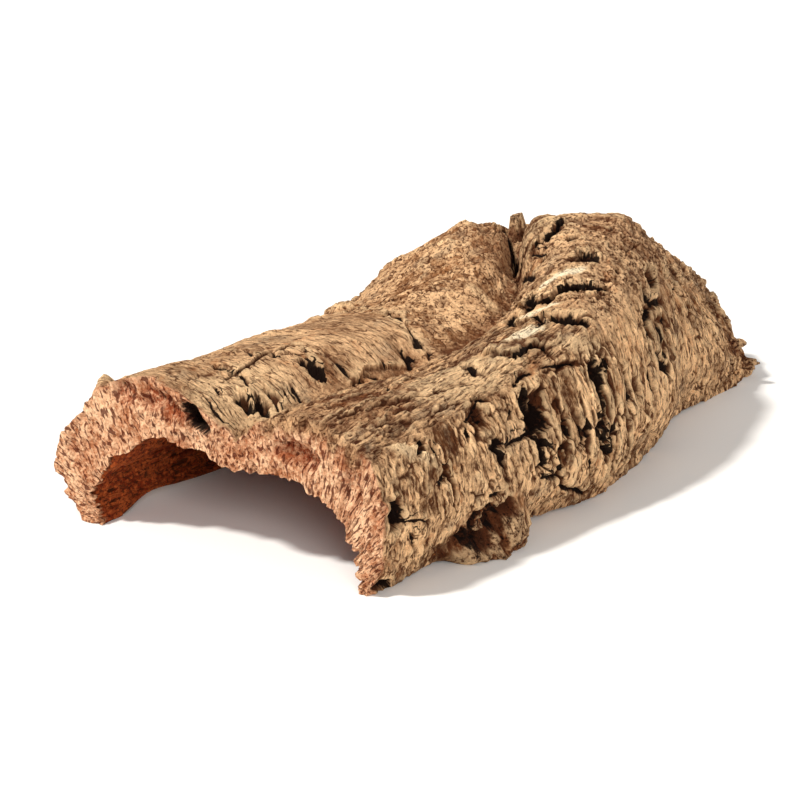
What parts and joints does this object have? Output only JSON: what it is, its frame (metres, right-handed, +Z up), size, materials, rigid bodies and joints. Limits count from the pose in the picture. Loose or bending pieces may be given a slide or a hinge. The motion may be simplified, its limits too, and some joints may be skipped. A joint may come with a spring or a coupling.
{
  "type": "piece of cork bark",
  "caption": "Half-round length of cork bark with a sawn end and a broken end, lying hollow side down as a low open arch.",
  "frame": {"origin": "middle of the bark's box, on the surface that it lies on", "axes": "+Y along the bark from the sawn end to the broken end, +Z up, +X towards the flank with the deep upright cracks"},
  "size_m": [0.1655, 0.3104, 0.0868],
  "materials": {
    "cork": "rough dry cork bark, tan and grey-brown, with red-brown pores and dark cracks"
  },
  "bodies": {
    "root": {"bark": "cork"}
  },
  "joints": []
}
